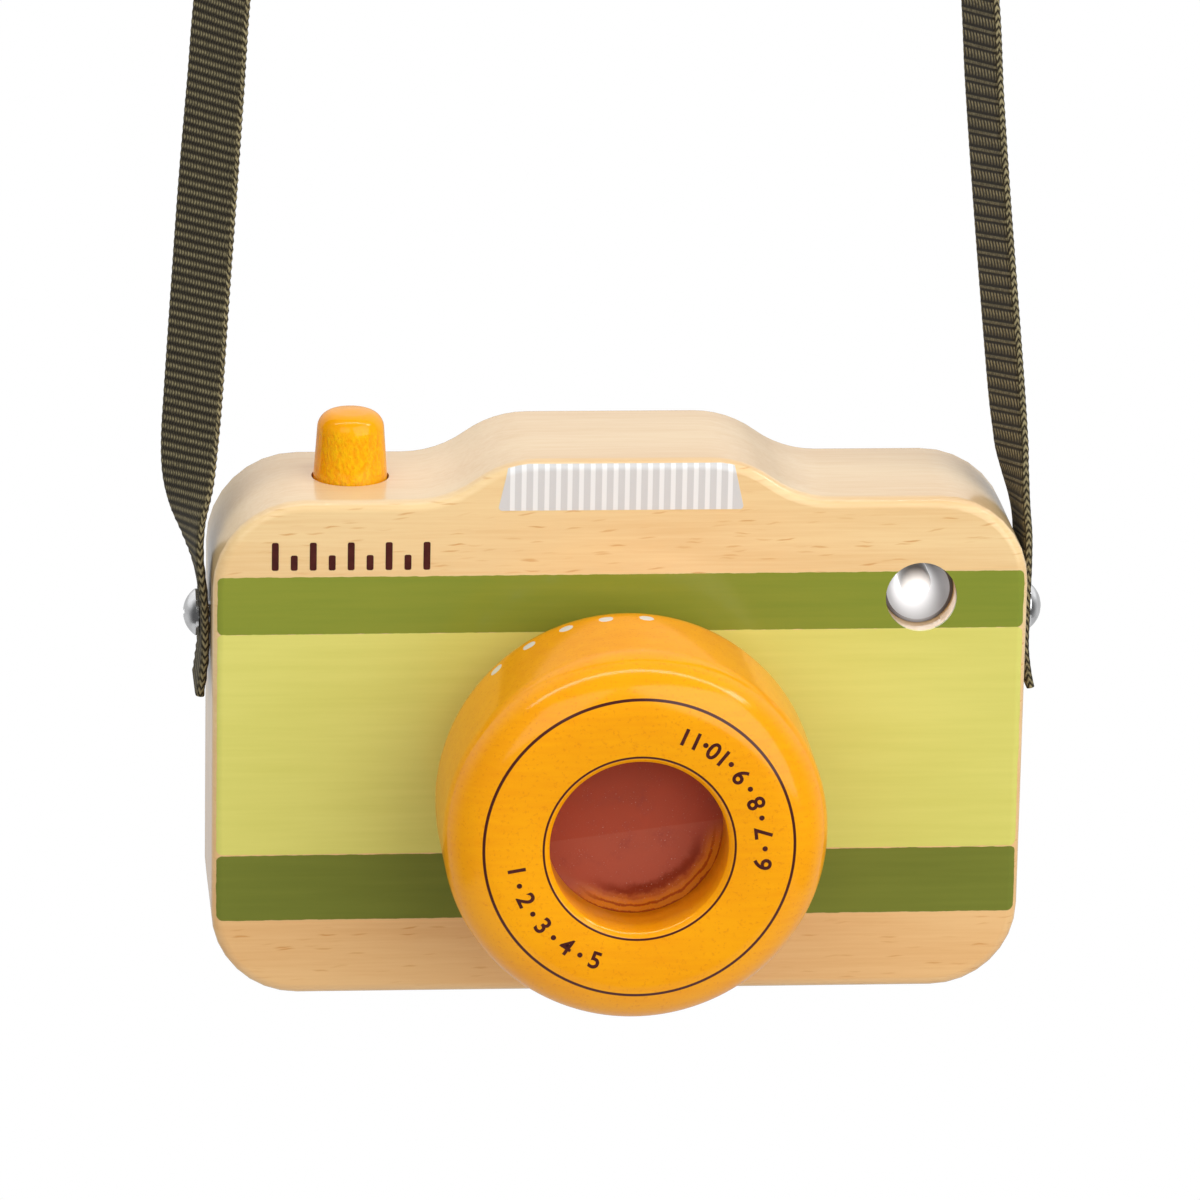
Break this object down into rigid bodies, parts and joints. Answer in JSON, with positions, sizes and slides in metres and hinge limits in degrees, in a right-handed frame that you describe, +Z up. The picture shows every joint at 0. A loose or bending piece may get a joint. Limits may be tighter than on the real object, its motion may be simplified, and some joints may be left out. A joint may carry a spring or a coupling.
{
  "type": "toy camera",
  "caption": "Wooden toy camera with a turning lens ring, a sprung shutter button, a small flash lamp and a woven neck strap.",
  "frame": {"origin": "middle of the flat foot that the camera stands on", "axes": "+Z up, +X to the right as seen from in front of the lens, -Y the way the lens looks"},
  "size_m": [0.1413, 0.067, 0.2237],
  "materials": {
    "beech": "smooth sanded and clear-oiled, front painted in green bands",
    "orange_wood": "glossy orange lacquer",
    "plain_ply": "sanded plywood",
    "dark_plastic": "moulded, fine texture",
    "clear_acrylic": "polished clear acrylic",
    "felt": "pressed felt",
    "silvered": "bright plated cup",
    "screw_steel": "nickel-plated",
    "spring_steel": "bright wire",
    "green_board": "solder mask",
    "contact_brass": "bright strip",
    "red_wire": "soft insulation",
    "black_wire": "soft insulation",
    "strap_web": "ribbed olive-black webbing with looped edges"
  },
  "bodies": {
    "camera": {"body_block": "beech", "rear_cover": "plain_ply", "rear_cover_screws": "screw_steel", "battery_door": "dark_plastic", "battery_door_screw": "screw_steel", "eyepiece_window": "clear_acrylic", "lens_sleeve": "plain_ply", "snap_ring": "spring_steel", "felt_washer": "felt", "flash_reflector": "silvered", "flash_lamp": "clear_acrylic", "circuit_board": "green_board", "board_parts": "dark_plastic", "board_screws": "screw_steel", "battery_case": "dark_plastic", "battery_cells": "screw_steel", "battery_contacts": "contact_brass", "battery_wires": "red_wire", "button_spring": "spring_steel", "button_bracket": "screw_steel", "bracket_screws": "screw_steel", "push_switch": "dark_plastic", "switch_wires": "black_wire", "neck_strap": "strap_web", "strap_screws": "screw_steel"},
    "lens": {"lens_ring": "orange_wood", "kaleidoscope_lens": "clear_acrylic", "lens_clamp_ring": "plain_ply"},
    "shutter": {"shutter_button": "orange_wood", "button_washer": "dark_plastic", "button_screw": "screw_steel"}
  },
  "joints": [
    {"name": "lens_turn", "type": "hinge", "parent": "camera", "child": "lens", "pos_m": [0, -0.033, 0.037], "axis": [0, -1, 0], "continuous": true},
    {"name": "shutter_press", "type": "slide", "parent": "camera", "child": "shutter", "axis": [0, 0, -1], "range_m": [0, 0.004], "stiffness_N_per_m": 300, "springref_m": -0.003, "deforming": ["button_spring"]}
  ]
}
